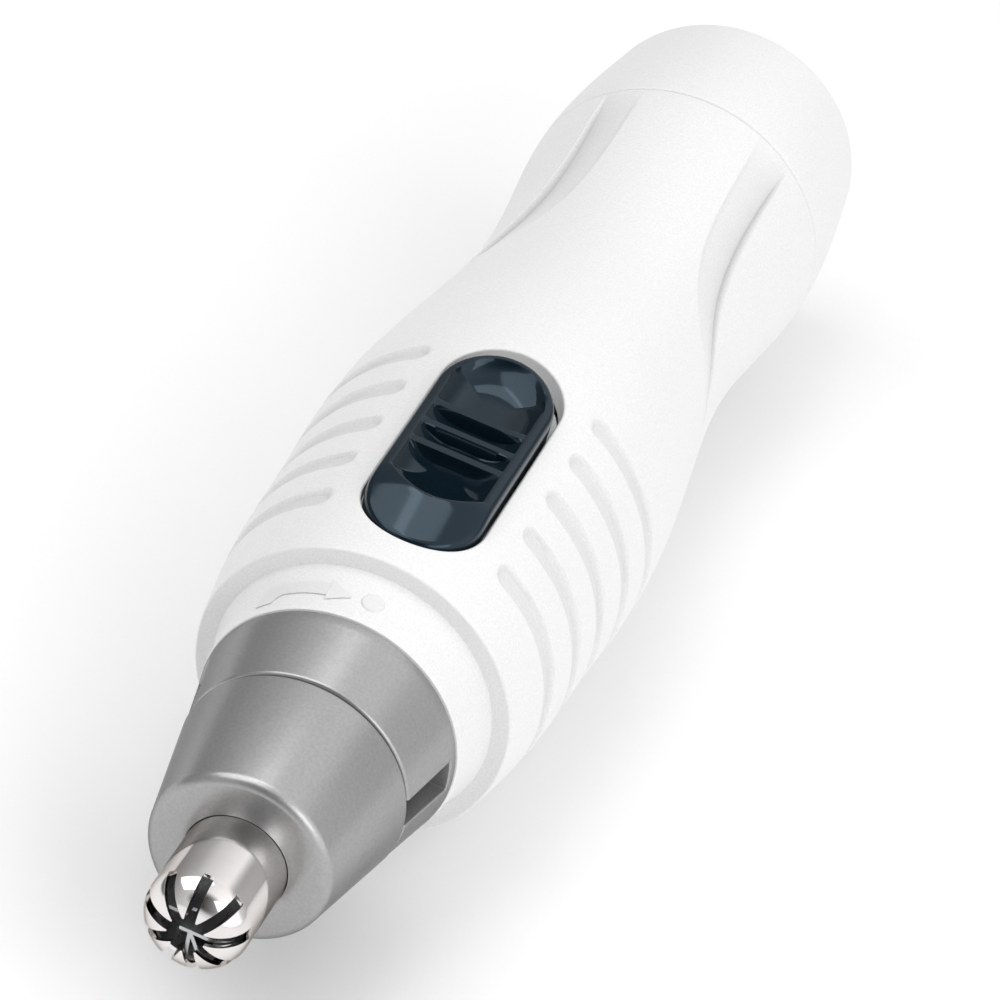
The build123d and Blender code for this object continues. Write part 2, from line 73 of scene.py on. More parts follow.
SPIGOT_FRONT, SPIGOT_R = 103.8, 10.7       # the part of the cap that goes into the grip
CAP_TAPER = 0.175                # slope of the cap's side where its rounded end starts
CAP_STRAIGHT = 126.2             # station where that rounded end starts
NOSE_HOLE_R = 4.21
SEAM_GAP = 0.09
END_ROUND = 3.4
REST_FRONT, REST_BACK = (60.0, 14.45), (112.0, 12.95)  # plane it lies on: station, drop
PAD_X, PAD_RISE = 3.2, 0.25                            # low pads on the flat underneath
BODY_PAD, CAP_PAD = (56.5, 69.5), (113.5, 121.0)
SWITCH_MID, SWITCH_HALF, SWITCH_SIDE = 51.1, 13.3, 5.08
LIP = 0.2                        # rounding of the switch opening
WELL_FLOOR = 12.3
GROOVES, GROOVE_FIRST, GROOVE_PITCH = 5, 41.3, 5.22
GROOVE_START, GROOVE_END = 35.0, 112.0                 # degrees
GROOVE_WIDTH = (1.15, 0.75)      # half width at the top and at the lower end
GROOVE_DEPTH = 0.45
KNOB_RISE = 1.1
RIBS = [48.5, 51.15, 53.8]

# ---- Small geometry helpers ----


def smooth_curve(knots):
    """A natural cubic spline through (x, y) knots, as a function of x."""
    x, y = (np.array(v, float) for v in zip(*knots))
    h = np.diff(x)
    n = len(x)
    matrix, right = np.eye(n), np.zeros(n)
    for i in range(1, n - 1):
        matrix[i, i - 1:i + 2] = h[i - 1], 2 * (h[i - 1] + h[i]), h[i]
        right[i] = 6 * ((y[i + 1] - y[i]) / h[i] - (y[i] - y[i - 1]) / h[i - 1])
    bend = np.linalg.solve(matrix, right)

    def value(at):
        at = np.asarray(at, float)
        i = np.clip(np.searchsorted(x, at) - 1, 0, n - 2)
        a, b = (x[i + 1] - at) / h[i], (at - x[i]) / h[i]
        curve = (a ** 3 - a) * bend[i] + (b ** 3 - b) * bend[i + 1]
        return a * y[i] + b * y[i + 1] + curve * h[i] ** 2 / 6

    return value


def ease(t):
    t = np.clip(t, 0, 1)
    return t * t * (3 - 2 * t)


def span(node, axis):
    """A node's lowest and highest value along x, y or z, in metres."""
    low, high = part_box(node)
    return getattr(low, axis), getattr(high, axis)


grip_radius = smooth_curve(GRIP)
AXIS_Z = sum(span("outer_cutter", "z")) / 2
TIP_Y = span("outer_cutter", "y")[0] - TIP * MM


def station_of(y):
    return (y - TIP_Y) / MM


FACE = station_of(span("head_cone", "y")[0])
COLLAR_FRONT = station_of(span("body_shell", "y")[0])
CAP_SEAM = station_of(span("body_shell", "y")[1])
REAR = station_of(span("battery_cap", "y")[1])
KNOB_FRONT, KNOB_BACK = (station_of(y) for y in span("switch_knob", "y"))
KNOB_SIDE = span("switch_knob", "x")[1] / MM


def on_axis(station, radius, angle):
    """Points from stations, radii and angles in radians: x, station and height in millimetres."""
    return np.stack(np.broadcast_arrays(radius * np.sin(angle), station, radius * np.cos(angle)), -1)


def add_piece(name, points, faces, body, material, replaced=(), sharp=40):
    """A mesh from points in millimetres on the trimmer's axis, riding on a body."""
    co = np.array(points, float).reshape(-1, 3) * MM + (0, TIP_Y, AXIS_Z)
    mesh = bpy.data.meshes.new(name)
    mesh.from_pydata(co.tolist(), [], [tuple(int(i) for i in face) for face in faces])
    bm = bmesh.new()
    bm.from_mesh(mesh)
    bmesh.ops.remove_doubles(bm, verts=bm.verts, dist=1e-6)
    bmesh.ops.recalc_face_normals(bm, faces=bm.faces)
    bm.to_mesh(mesh)
    bm.free()
    mesh.materials.append(material)
    mesh.shade_smooth()
    mesh.set_sharp_from_angle(angle=math.radians(sharp))
    piece = bpy.data.objects.new(name, mesh)
    bpy.context.scene.collection.objects.link(piece)
    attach(piece, body)
    if replaced:
        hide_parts(*replaced)
    return piece


def strip(first, second, closed=True):
    """Quads between two rows of point numbers."""
    n = len(first)
    return [(first[i], first[(i + 1) % n], second[(i + 1) % n], second[i])
            for i in range(n if closed else n - 1)]


def arc(centre, radius, start, end, steps):
    """(radius, station) points on an arc, with angles in degrees from +radius to +station."""
    angles = np.radians(np.linspace(start, end, steps))
    return [(centre[0] + radius * math.cos(a), centre[1] + radius * math.sin(a)) for a in angles]


def underside(station, rise):
    """Height of a plane this far above the one the trimmer lies on."""
    slope = (REST_FRONT[1] - REST_BACK[1]) / (REST_BACK[0] - REST_FRONT[0])
    return slope * (station - REST_FRONT[0]) - REST_FRONT[1] + rise


def above_rest(points):
    """Lifts points that lie under the flat on the underside."""
    points = np.array(points, float)
    points[..., 2] = np.maximum(points[..., 2], underside(points[..., 1], PAD_RISE))
    return points


def lathe(outline, columns=192, cuts=(), front=()):
    """Points and faces of a closed (radius, station) outline turned about the axis. Each cut is a
    pair of angles in degrees where the outline's points in front are left open, with side walls."""
    angles = sorted({round(360 / columns * i, 4) for i in range(columns)} | {a for c in cuts for a in c})
    if cuts:
        angles = [a for a in angles if all(a in c or min(abs(a - e) for e in c) > 0.6 for c in cuts)]
    rows = [on_axis(s, r, np.radians(angles)) for r, s in outline]
    n = len(angles)
    numbers = np.arange(len(outline) * n).reshape(len(outline), n)
    open_columns = {j for j, a in enumerate(angles) for low, high in cuts if low <= a < high}
    faces = []
    for i in range(len(outline)):
        quads = strip(numbers[i - 1], numbers[i])
        if i in front and (i - 1) in front:
            quads = [q for j, q in enumerate(quads) if j not in open_columns]
        faces += quads
    for low, high in cuts:
        first, last = angles.index(low), angles.index(high)
        for j in (first, last):
            faces.append([numbers[i, j] for i in front])
        faces += strip(numbers[front[0], first:last + 1], numbers[front[-1], first:last + 1], closed=False)
    return np.concatenate(rows), faces


# ---- Materials ----


def new_material(name, colour, roughness, metallic=0.0, **inputs):
    """A Principled material; returns it with its node tree and shader."""
    material = bpy.data.materials.new(name)
    material.use_nodes = True
    tree = material.node_tree
    shader = tree.nodes["Principled BSDF"]
    shader.inputs["Base Color"].default_value = (*colour, 1)
    shader.inputs["Roughness"].default_value = roughness
    shader.inputs["Metallic"].default_value = metallic
    for key, value in inputs.items():
        shader.inputs[key.replace("_", " ")].default_value = value
    return material, tree, shader


def noise(tree, scale, detail=3.0, stretch=None):
    """Noise in the part's own space; stretch scales each axis."""
    place = tree.nodes.new("ShaderNodeTexCoord")
    texture = tree.nodes.new("ShaderNodeTexNoise")
    texture.inputs["Scale"].default_value = scale
    texture.inputs["Detail"].default_value = detail
    source = place.outputs["Object"]
    if stretch:
        mapping = tree.nodes.new("ShaderNodeMapping")
        mapping.inputs["Scale"].default_value = stretch
        tree.links.new(source, mapping.inputs["Vector"])
        source = mapping.outputs["Vector"]
    tree.links.new(source, texture.inputs["Vector"])
    return texture


def vary(tree, texture, socket, low, high):
    """Drives a shader number from noise, between low and high."""
    spread = tree.nodes.new("ShaderNodeMapRange")
    spread.inputs["From Min"].default_value = 0.3
    spread.inputs["From Max"].default_value = 0.7
    spread.inputs["To Min"].default_value = low
    spread.inputs["To Max"].default_value = high
    tree.links.new(texture.outputs["Fac"], spread.inputs["Value"])
    tree.links.new(spread.outputs["Result"], socket)


def tint(tree, texture, socket, first, second):
    """Drives a colour from noise, between two colours."""
    ramp = tree.nodes.new("ShaderNodeValToRGB")
    ramp.color_ramp.elements[0].position = 0.3
    ramp.color_ramp.elements[1].position = 0.7
    ramp.color_ramp.elements[0].color = (*first, 1)
    ramp.color_ramp.elements[1].color = (*second, 1)
    tree.links.new(texture.outputs["Fac"], ramp.inputs["Fac"])
    tree.links.new(ramp.outputs["Color"], socket)


def bump(tree, texture, shader, strength, depth):
    """Fine relief, with its depth in millimetres."""
    relief = tree.nodes.new("ShaderNodeBump")
    relief.inputs["Strength"].default_value = strength
    relief.inputs["Distance"].default_value = depth * MM
    tree.links.new(texture.outputs["Fac"], relief.inputs["Height"])
    tree.links.new(relief.outputs["Normal"], shader.inputs["Normal"])


def moulded(name, colour, roughness, grain=4500, depth=0.012, spread=0.05, **inputs):
    """Moulded plastic: fine grain, slightly uneven colour and gloss."""
    material, tree, shader = new_material(name, colour, roughness, **inputs)
    fine = noise(tree, grain, 2.0)
    broad = noise(tree, 90, 3.0)
    darker = [c * (1 - spread) for c in colour]
    tint(tree, fine, shader.inputs["Base Color"], darker, colour)
    vary(tree, broad, shader.inputs["Roughness"], roughness * 0.9, roughness * 1.12)
    bump(tree, fine, shader, 0.5, depth)
    return material


def darken_by_painted_shade(material, amount):
    """Paints shade into the colour: darkens it by amount for each unit of the mesh's painted-shade mark."""
    tree = material.node_tree
    socket = tree.nodes["Principled BSDF"].inputs["Base Color"]
    plain = socket.links[0].from_socket
    # Reads the painted-shade mark that the grip carries.
    mark = tree.nodes.new("ShaderNodeAttribute")
    mark.attribute_name = "painted_shade"
    keep = tree.nodes.new("ShaderNodeMapRange")
    keep.clamp = False
    keep.inputs["To Min"].default_value = 1.0
    keep.inputs["To Max"].default_value = 1.0 - amount
    scaled = tree.nodes.new("ShaderNodeVectorMath")
    scaled.operation = "SCALE"
    tree.links.new(mark.outputs["Fac"], keep.inputs["Value"])
    tree.links.new(plain, scaled.inputs[0])
    tree.links.new(keep.outputs["Result"], scaled.inputs["Scale"])
    tree.links.new(scaled.outputs["Vector"], socket)


def metal(name, colour, roughness, stretch=None, grain=1500, depth=0.002, **inputs):
    """Bare metal: fine drawn or ground lines and uneven gloss."""
    material, tree, shader = new_material(name, colour, roughness, metallic=1.0, **inputs)
    fine = noise(tree, grain, 3.0, stretch)
    vary(tree, fine, shader.inputs["Roughness"], roughness * 0.75, roughness * 1.3)
    broad = noise(tree, 300, 2.0)
    tint(tree, broad, shader.inputs["Base Color"], [c * 0.93 for c in colour], colour)
    bump(tree, fine, shader, 0.3, depth)
    return material


WHITE = moulded("shell_white", (0.82, 0.82, 0.82), 0.45, grain=5200, depth=0.03, spread=0.09)
# Painted shade on the white plastic where a piece carries the mark: the grip's grooves and flutes.
darken_by_painted_shade(WHITE, 0.13)
SATIN = moulded("satin_grey", (0.42, 0.42, 0.42), 0.29, metallic=0.75, grain=3800, depth=0.012, spread=0.12,
                Specular_Tint=(0.25, 0.25, 0.25, 1))
CHROME = metal("polished_steel", (0.80, 0.775, 0.765), 0.09, grain=900, depth=0.0005,
               Specular_Tint=(0.45, 0.42, 0.40, 1))
BLADE = metal("ground_blade", (0.50, 0.51, 0.52), 0.30, stretch=(1, 0.1, 1))
SLATE = moulded("slate_gloss", (0.004, 0.010, 0.016), 0.10, grain=900, depth=0.0015, spread=0.1,
                Specular_Tint=(0.62, 0.82, 1.0, 1), Specular_IOR_Level=0.42)
PALE = moulded("pale_plastic", (0.80, 0.80, 0.81), 0.45, spread=0.04)
DARK = moulded("black_plastic", (0.02, 0.02, 0.02), 0.4)
RUBBER = moulded("seal_rubber", (0.015, 0.015, 0.015), 0.7, grain=2500, depth=0.01)
STEEL = metal("plain_steel", (0.55, 0.55, 0.55), 0.28)
SPRING = metal("spring_wire", (0.50, 0.50, 0.50), 0.22)
COPPER = metal("enamelled_copper", (0.72, 0.30, 0.14), 0.25, stretch=(1, 12, 1), grain=400, depth=0.02)
BRASS = metal("contact_brass", (0.80, 0.58, 0.25), 0.25)
BRONZE = metal("sintered_bronze", (0.42, 0.28, 0.15), 0.5, grain=3000, depth=0.01)
MAGNET = moulded("ferrite", (0.03, 0.03, 0.033), 0.55)
CARBON = moulded("carbon", (0.02, 0.02, 0.022), 0.6)
JACKET = moulded("cell_jacket", (0.03, 0.07, 0.16), 0.25, grain=300, depth=0.001)
MARK = moulded("raised_mark", (0.75, 0.75, 0.75), 0.42, grain=5200, depth=0.02)

SLOT_MATERIALS = {
    "polished_steel": CHROME, "blade_steel": BLADE, "satin_grey": SATIN, "shell_white": WHITE,
    "slate_gloss": SLATE, "pale_grey": PALE, "black_plastic": DARK, "seal_rubber": RUBBER,
    "steel": STEEL, "spring_steel": SPRING, "copper": COPPER, "contact_brass": BRASS,
    "bush_bronze": BRONZE, "magnet": MAGNET, "carbon": CARBON, "cell_jacket": JACKET}


def paint_cad_nodes():
    """Every CAD node gets its own slot's material."""
    slots = {part["node"]: part["material_slot"] for part in frame["record"]["subparts"]}
    for name, node in frame["nodes"].items():
        node.data.materials.clear()
        node.data.materials.append(SLOT_MATERIALS[slots[name]])


# ---- White grip ----

FLUTE_TOP = smooth_curve([(80, 76), (84.5, 62), (86.5, 51), (89, 42), (92.5, 34.5), (97, 29.3),
                          (103, 26.0), (112, 23.6)])
FLUTE_VALLEY = smooth_curve([(78, 84), (82.1, 77.2), (86.7, 67.6), (90.7, 56.5), (95.6, 48.2),
                             (101, 43.4), (106.9, 40.4), (112, 39.0)])
FLUTE_DEPTH = smooth_curve([(78, 0), (82, 0.04), (86, 0.25), (91, 0.5), (98, 0.68), (105, 0.58),
                            (110, 0.25), (112, 0.0)])
FLUTE_WALL = 0.9                 # degrees from the crease up to the surface
FLUTE_FRONT, FLUTE_BACK = 78, 112          # stations between which the flutes run
GROOVE_STEP = 0.6                # degrees that each groove starts above the one before
GROOVE_R = 14.6                  # radius that a groove's length is measured at
GROOVE_EDGE = 0.45               # width of a groove's sloping edge


def groove_depth(station, angle):
    """Finger grooves on both sides: flat, rounded at the top, tapering downwards."""
    depth = np.zeros(np.broadcast(station, angle).shape)
    for i in range(GROOVES):
        start = GROOVE_START - GROOVE_STEP * i
        along = np.radians(np.abs(angle) - start) * grip_radius(station)
        length = math.radians(GROOVE_END - start) * GROOVE_R
        past = np.clip(along, 0, length)
        half_width = GROOVE_WIDTH[0] + (GROOVE_WIDTH[1] - GROOVE_WIDTH[0]) * past / length
        inside = half_width - np.hypot(station - GROOVE_FIRST - GROOVE_PITCH * i, along - past)
        depth = np.maximum(depth, GROOVE_DEPTH * ease(inside / GROOVE_EDGE))
    return depth


def flute_place(station, angle):
    """Where a point is in a flute: 0 at the upper edge and 1 at the crease, and the turn past it."""
    at = np.clip(station, FLUTE_FRONT, FLUTE_BACK)
    top, valley = FLUTE_TOP(at), np.maximum(FLUTE_VALLEY(at), FLUTE_TOP(at) + 0.5)
    turn = np.abs(angle)
    return np.clip((turn - top) / (valley - top), 0, 1), turn - top, turn - valley


def flute_depth(station, angle):
    """Wave-shaped flutes: a crisp upper edge, a slope down to the crease, then a steep wall."""
    across, past_top, past_valley = flute_place(station, angle)
    floor = 0.2 * ease(past_top / 1.2) + 0.8 * across ** 1.2
    wall = 1 - ease(past_valley / FLUTE_WALL)
    inside = (station > FLUTE_FRONT) & (station < FLUTE_BACK)
    deepest = np.maximum(FLUTE_DEPTH(np.clip(station, FLUTE_FRONT, FLUTE_BACK)), 0)
    return np.where(inside, deepest * floor * wall, 0)


def grip_surface(station, angle):
    """Radius of the outer surface, with its grooves and flutes, at angles in degrees."""
    return grip_radius(station) - groove_depth(station, angle) - flute_depth(station, angle)


def add_painted_shade(piece):
    """Marks painted shade on a piece, which its material tints darker: on the grooves' floors, and on the
    flutes along their slopes, upper edges and creases.
    """
    mesh = piece.data
    co = np.empty(len(mesh.vertices) * 3)
    mesh.vertices.foreach_get("co", co)
    x, y, z = co.reshape(-1, 3).T
    station, height = (y - TIP_Y) / MM, (z - AXIS_Z) / MM
    angle = np.degrees(np.arctan2(x / MM, height))
    # Painted shade on the groove floors, as strong as each groove is deep.
    groove = groove_depth(np.clip(station, COLLAR_BACK, FLUTE_BACK), angle) / GROOVE_DEPTH
    across, past_top, past_valley = flute_place(station, angle)
    deepest = FLUTE_DEPTH(np.clip(station, FLUTE_FRONT, FLUTE_BACK))
    strength = np.clip(deepest / 0.45, 0, 1) * (station > FLUTE_FRONT) * (station < FLUTE_BACK)
    # Painted shade on each flute: darker from its upper edge down to the crease, then fading on the wall.
    flute = strength * (0.45 * ease(past_top / 1.0) + 0.75 * across ** 2.5) * (1 - ease(past_valley / 0.8))
    # Painted shade: a dark line along each flute's crease, and a fainter one along its upper edge.
    flute += 1.2 * strength * np.exp(-((past_valley - 0.1) / 0.6) ** 2)
    flute += 0.5 * strength * np.exp(-((past_top - 0.3) / 0.5) ** 2)
    outside = np.hypot(x / MM, height) > grip_radius(np.clip(station, COLLAR_BACK, GRIP[-1][0])) - 1.0
    painted_shade = np.where(outside, np.maximum(groove, flute), 0)
    mesh.attributes.new("painted_shade", "FLOAT", "POINT").data.foreach_set("value", painted_shade)


PATCH_SIDE = 27                  # degrees: half the width of the patch round the switch
PATCH_FRONT, PATCH_BACK = 36.3, 66.3


def grip_columns():
    fine = np.arange(-90, 90.1, 1.0)
    side = np.arange(92, 130.1, 2.0)
    under = np.arange(134, 226.1, 4.0)
    return np.concatenate([fine, side, under, 360 - side[::-1]])


def flute_columns(station, columns):
    """Turns the columns of a row so that some follow a flute's upper edge, its crease and its wall."""
    at = np.clip(station, FLUTE_FRONT + 1, FLUTE_BACK)
    top, valley = float(FLUTE_TOP(at)), float(FLUTE_VALLEY(at))
    turn = np.abs(columns)
    led = np.interp(turn, [0, 33, 34, 35, 48, 50, 53, 92],
                    [0, top - 0.5, top, top + 0.5, valley - 0.8, valley, valley + FLUTE_WALL, 92])
    led = turn + (led - turn) * ease((station - 67) / 12)
    return np.where(turn < 92, np.sign(columns) * led, columns)


def opening_ring(boundary, offset):
    """The switch opening's outline, moved out by offset, seen from the points of a boundary."""
    reach = SWITCH_HALF - SWITCH_SIDE
    v = boundary[:, 1] - SWITCH_MID
    centre = np.stack([np.zeros_like(v), np.clip(v, -reach, reach)], -1)
    away = np.stack([boundary[:, 0], v], -1) - centre
    away /= np.linalg.norm(away, axis=1)[:, None]
    ring = centre + away * (SWITCH_SIDE + offset)
    ring[:, 1] += SWITCH_MID
    return ring


class Layer:
    """A grid of rows and columns round the axis, with a patch that leads to the switch opening."""

    def __init__(self, rows, columns, first_number, surface=None):
        self.points, self.faces, self.start = [], [], first_number
        turns = [flute_columns(row[0], columns) for row in rows]
        grid = np.array([on_axis(s, surface(s, turn) if shaped else r, np.radians(turn))
                         for (s, r, shaped), turn in zip(rows, turns)])
        self.numbers = self.add(above_rest(grid)).reshape(grid.shape[:2])
        stations = [row[0] for row in rows]
        top = [i for i, s in enumerate(stations) if PATCH_FRONT - 1e-6 <= s <= PATCH_BACK + 1e-6]
        top = sorted(top, key=lambda i: stations[i])
        side = [j for j, a in enumerate(columns) if -PATCH_SIDE <= a <= PATCH_SIDE]
        inside_rows, inside_columns = set(top), set(side)
        for i in range(len(rows) - 1):
            quads = strip(self.numbers[i], self.numbers[i + 1])
            if i in inside_rows and i + 1 in inside_rows:
                quads = [q for j, q in enumerate(quads)
                         if not (j in inside_columns and j + 1 in inside_columns)]
            self.faces += quads
        left = [(i, side[0]) for i in top]
        back = [(top[-1], j) for j in side[1:]]
        right = [(i, side[-1]) for i in top[-2::-1]]
        front = [(top[0], j) for j in side[-2:0:-1]]
        loop = left + back + right + front
        self.loop = [self.numbers[i, j] for i, j in loop]
        self.boundary = np.array([grid[i, j] for i, j in loop])

    def add(self, points):
        points = np.asarray(points, float).reshape(-1, 3)
        numbers = self.start + np.arange(len(points)) + sum(len(p) for p in self.points)
        self.points.append(points)
        return numbers

    def rings(self, plans_and_heights):
        """Rows of points from the patch's boundary inwards, each joined to the one before."""
        for plan, height in plans_and_heights:
            ring = self.add(np.column_stack([plan[:, 0], plan[:, 1], height]))
            self.faces += strip(self.loop, ring)
            self.loop = list(ring)


def height_on(plan, inset):
    """Height of the grip's surface, moved in, over plan points of x and station."""
    return np.sqrt((grip_radius(plan[:, 1]) - inset) ** 2 - plan[:, 0] ** 2)


def build_grip():
    columns = grip_columns()
    cove = smooth_curve(COLLAR_COVE)
    patch = np.linspace(PATCH_FRONT, PATCH_BACK, 121)
    outer = [(31.0, COLLAR_BORE, False), (30.1, COLLAR_BORE, False), (29.95, 9.62, False),
             (29.9, 9.75, False), (29.9, 10.45, False), (29.94, 10.62, False), (30.06, 10.7, False)]
    outer += [(s, float(cove(s)), False) for s in np.linspace(30.25, 34.75, 16)]
    outer += [(34.9, 11.56, False), (34.95, 11.6, False), (34.95, 12.88, False)]
    outer += [(s, r, False) for r, s in arc((12.88, 35.17), 0.22, -80, -8, 6)]
    outer += [(s, None, True) for s in (35.35, 35.6, 36.0)]
    outer += [(s, None, True) for s in patch]
    outer += [(s, None, True) for s in np.arange(67.0, 78.5, 0.8)]
    outer += [(s, None, True) for s in np.arange(78.8, CAP_SEAM - 0.3, 0.4)]
    edge = float(grip_radius(CAP_SEAM))
    outer += [(CAP_SEAM - 0.2, None, True), (CAP_SEAM - 0.1, edge - 0.02, False),
              (CAP_SEAM - 0.03, edge - 0.08, False), (CAP_SEAM, edge - 0.18, False)]
    skin = Layer(outer, columns, 0, grip_surface)
    start = skin.boundary[:, :2]
    end = opening_ring(start, LIP)
    steps = []
    for t in (0.12, 0.25, 0.38, 0.5, 0.62, 0.73, 0.83, 0.92, 1.0):
        plan = start + (end - start) * t
        steps.append((plan, height_on(plan, 0)))
    for a in np.radians([18, 36, 54, 72, 90]):
        plan = opening_ring(start, LIP * (1 - math.sin(a)))
        steps.append((plan, height_on(opening_ring(start, LIP), 0) - LIP * (1 - math.cos(a))))
    skin.rings(steps)

    inner = [(CAP_SEAM, SOCKET_R, False), (SOCKET_FRONT, SOCKET_R, False)]
    inner += [(s, float(grip_radius(s)) - WALL, False) for s in np.arange(102.5, 67, -4.0)]
    inner += [(s, float(grip_radius(s)) - WALL, False) for s in patch[::-1]]
    inner += [(36.2, 10.5, False), (34.6, 10.5, False), (34.6, COLLAR_BORE, False)]
    lining = Layer(inner, columns, sum(len(p) for p in skin.points))
    start_in = lining.boundary[:, :2]
    end_in = opening_ring(start_in, 0)
    lining.rings([(start_in + (end_in - start_in) * t, height_on(start_in + (end_in - start_in) * t, WALL))
                  for t in (0.5, 1.0)])
    faces = skin.faces + lining.faces
    faces += strip(skin.numbers[-1], lining.numbers[0]) + strip(lining.numbers[-1], skin.numbers[0])
    faces += strip(skin.loop, lining.loop)
    points = np.concatenate(skin.points + lining.points)
    piece = add_piece("grip_shell", points, faces, "body", WHITE, ["body_shell"], sharp=35)
    # Painted shade in the grooves and flutes, which the white material darkens.
    add_painted_shade(piece)


def build_cap():
    side = float(grip_radius(CAP_STRAIGHT + 0.2))
    lean = math.degrees(math.atan(CAP_TAPER))
    centre = (side - END_ROUND / math.cos(math.radians(lean)), REAR - END_ROUND)
    front = CAP_SEAM + SEAM_GAP
    edge = float(grip_radius(front))
    outline = [(0, CAP_FLOOR), (CAP_BORE, CAP_FLOOR), (CAP_BORE, SPIGOT_FRONT), (SPIGOT_R, SPIGOT_FRONT),
               (SPIGOT_R, front), (edge - 0.2, front), (edge - 0.09, front + 0.03),
               (edge - 0.02, front + 0.1)]
    outline += [(float(grip_radius(s)), s) for s in np.linspace(front + 0.25, CAP_STRAIGHT, 24)]
    outline += arc(centre, END_ROUND, lean, 90, 16) + [(0, REAR)]
    points, faces = lathe(outline, 240)
    return add_piece("rear_cap", above_rest(points), faces, "battery_cap", WHITE,
                     ["battery_cap"])


def build_pad(name, ends, body):
    """A low rectangular pad under the trimmer, with rounded corners."""
    middle, reach, corner = sum(ends) / 2, (ends[1] - ends[0]) / 2, 0.8
    turn = np.radians(np.arange(0, 360, 7.5) + 3.75)
    x = np.sign(np.cos(turn)) * (PAD_X - corner) + corner * np.cos(turn)
    station = middle + np.sign(np.sin(turn)) * (reach - corner) + corner * np.sin(turn)
    points, faces, n = [], [], len(turn)
    for shrink, rise in ((1, PAD_RISE + 0.2), (1, 0.06), (0.985, 0)):
        plan = np.stack([x * shrink, middle + (station - middle) * shrink], -1)
        points.append(np.column_stack([plan, underside(plan[:, 1], rise)]))
    faces += strip(np.arange(n), np.arange(n) + n) + strip(np.arange(n) + n, np.arange(n) + 2 * n)
    faces += [list(range(n)), list(range(2 * n, 3 * n))]
    return add_piece(name, np.concatenate(points), faces, body, WHITE)


MARK_RISE, MARK_ROOT = 0.12, -0.15         # top of the marks, and how deep they start
MARK_R = 10.9                              # collar radius that their widths are measured at
ARROW = [(31.04, -49.0, 31.04, -41.5), (31.6, -48.6, 31.35, -40.8), (32.1, -47.8, 31.6, -40.0),
         (32.6, -46.6, 31.8, -38.8), (32.95, -44.8, 31.93, -37.5), (33.0, -40.0, 31.95, -34.0),
         (33.0, -35.0, 31.95, -30.0), (33.0, -29.5, 31.93, -26.0), (33.0, -23.0, 31.9, -22.0),
         (33.0, -17.6, 31.85, -17.6), (33.3, -17.5, 31.35, -17.5), (32.95, -14.5, 31.6, -14.5),
         (32.6, -11.5, 31.85, -11.5), (32.2, -8.2, 32.1, -8.2)]     # station and degrees, both edges
DOT = (32.4, 1.2, 0.95)          # station, degrees, radius


def build_marks():
    """Raised arrow and dot on the collar that show how the head twists."""
    cove = smooth_curve(COLLAR_COVE)

    def lifted(station, angle, rise):
        return on_axis(station, cove(station) + rise, np.radians(angle))

    rows = np.array(ARROW)
    upper, lower = rows[:, :2], rows[:, 2:]
    outline = np.concatenate([upper, lower[::-1]])
    scale = np.array([1, math.radians(1) * MARK_R])
    flat = outline * scale
    ahead, behind = np.roll(flat, -1, axis=0), np.roll(flat, 1, axis=0)
    along = ahead - behind
    along /= np.linalg.norm(along, axis=1)[:, None]
    inner = (flat + np.stack([-along[:, 1], along[:, 0]], -1) * -0.09) / scale
    n = len(outline)
    points = [lifted(*outline.T, MARK_ROOT), lifted(*outline.T, 0.0), lifted(*inner.T, MARK_RISE)]
    faces = strip(np.arange(n), np.arange(n) + n) + strip(np.arange(n) + n, np.arange(n) + 2 * n)
    half = n // 2
    for base in (0, 2 * n):
        faces += strip(base + np.arange(half), base + n - 1 - np.arange(half), closed=False)
    add_piece("twist_arrow", np.concatenate(points), faces, "body", MARK, sharp=30)

    station, angle, radius = DOT
    turn = np.radians(np.arange(0, 360, 9))
    n = len(turn)
    points, faces = [], []
    for out, rise in ((1, MARK_ROOT), (1, 0.0), (0.87, MARK_RISE), (0.5, MARK_RISE)):
        points.append(lifted(station + radius * out * np.cos(turn),
                             angle + np.degrees(radius * out * np.sin(turn) / MARK_R), rise))
    for i in range(3):
        faces += strip(np.arange(n) + i * n, np.arange(n) + (i + 1) * n)
    faces += [list(range(n)), list(range(3 * n, 4 * n))]
    add_piece("twist_dot", np.concatenate(points), faces, "body", MARK, sharp=30)


# ---- Head ----

SEAM_LIP = 0.3                   # rounding of both edges at the seam of the head
SEAM_HALF = 0.07


def build_nose():
    edge = 0.95
    hole = NOSE_HOLE_R
    outline = [(hole, 13.0), (hole, FACE + 0.1), (hole + 0.02, FACE + 0.03), (hole + 0.08, FACE),
               (6.42, FACE + 0.3)]
    outline += arc((6.5, FACE + 0.3 + edge), edge, -82, -8, 12)
    outline += arc((HEAD_SEAM_R - 0.03 - SEAM_LIP, HEAD_SEAM - SEAM_HALF - SEAM_LIP), SEAM_LIP, -8, 90, 9)
    outline += [(8.2, HEAD_SEAM - SEAM_HALF), (8.2, 23.9), (7.3, 23.9), (7.0, 20.0), (5.7, 16.4), (5.7, 13.0)]
    points, faces = lathe(outline, 240)
    return add_piece("nose_cone", points, faces, "head", SATIN, ["head_cone"])


